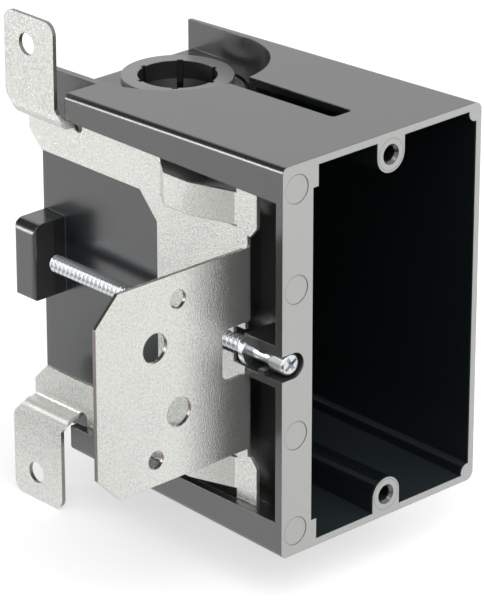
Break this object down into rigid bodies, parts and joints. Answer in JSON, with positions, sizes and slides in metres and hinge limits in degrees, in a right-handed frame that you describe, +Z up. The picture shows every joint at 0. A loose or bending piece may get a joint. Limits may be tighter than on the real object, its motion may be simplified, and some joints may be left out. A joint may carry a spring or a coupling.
{
  "type": "new work outlet box",
  "caption": "Deep rectangular moulded wall box, open at the front, with a sliding folded steel stud bracket, a captive adjusting screw and a round cable connector in a rear recess.",
  "frame": {"origin": "midway between the two device screw bosses, in the plane of the front face", "axes": "+X across the opening away from the stud, +Y into the depth, +Z up; the opening faces -Y"},
  "size_m": [0.1046, 0.092, 0.1224],
  "materials": {
    "box_plastic": "satin moulded",
    "galvanised_sheet": "galvanised, mottled",
    "zinc_steel": "bright zinc",
    "connector_plastic": "moulded"
  },
  "bodies": {
    "box": {"box_shell": "box_plastic", "cable_connector": "connector_plastic"},
    "screw": {"adjusting_screw": "zinc_steel"},
    "bracket": {"mounting_bracket": "galvanised_sheet"}
  },
  "joints": [
    {"name": "screw_turn", "type": "hinge", "parent": "box", "child": "screw", "pos_m": [-0.0295, 0, -0.0004], "axis": [0, 1, 0], "range_deg": [-10220, 515]},
    {"name": "bracket_slide", "type": "slide", "parent": "box", "child": "bracket", "axis": [0, 1, 0], "range_m": [-0.002, 0.04]}
  ],
  "couplings": [
    {"joint": "screw_turn", "follows": "bracket_slide", "rad_per_m": -4456.2}
  ]
}
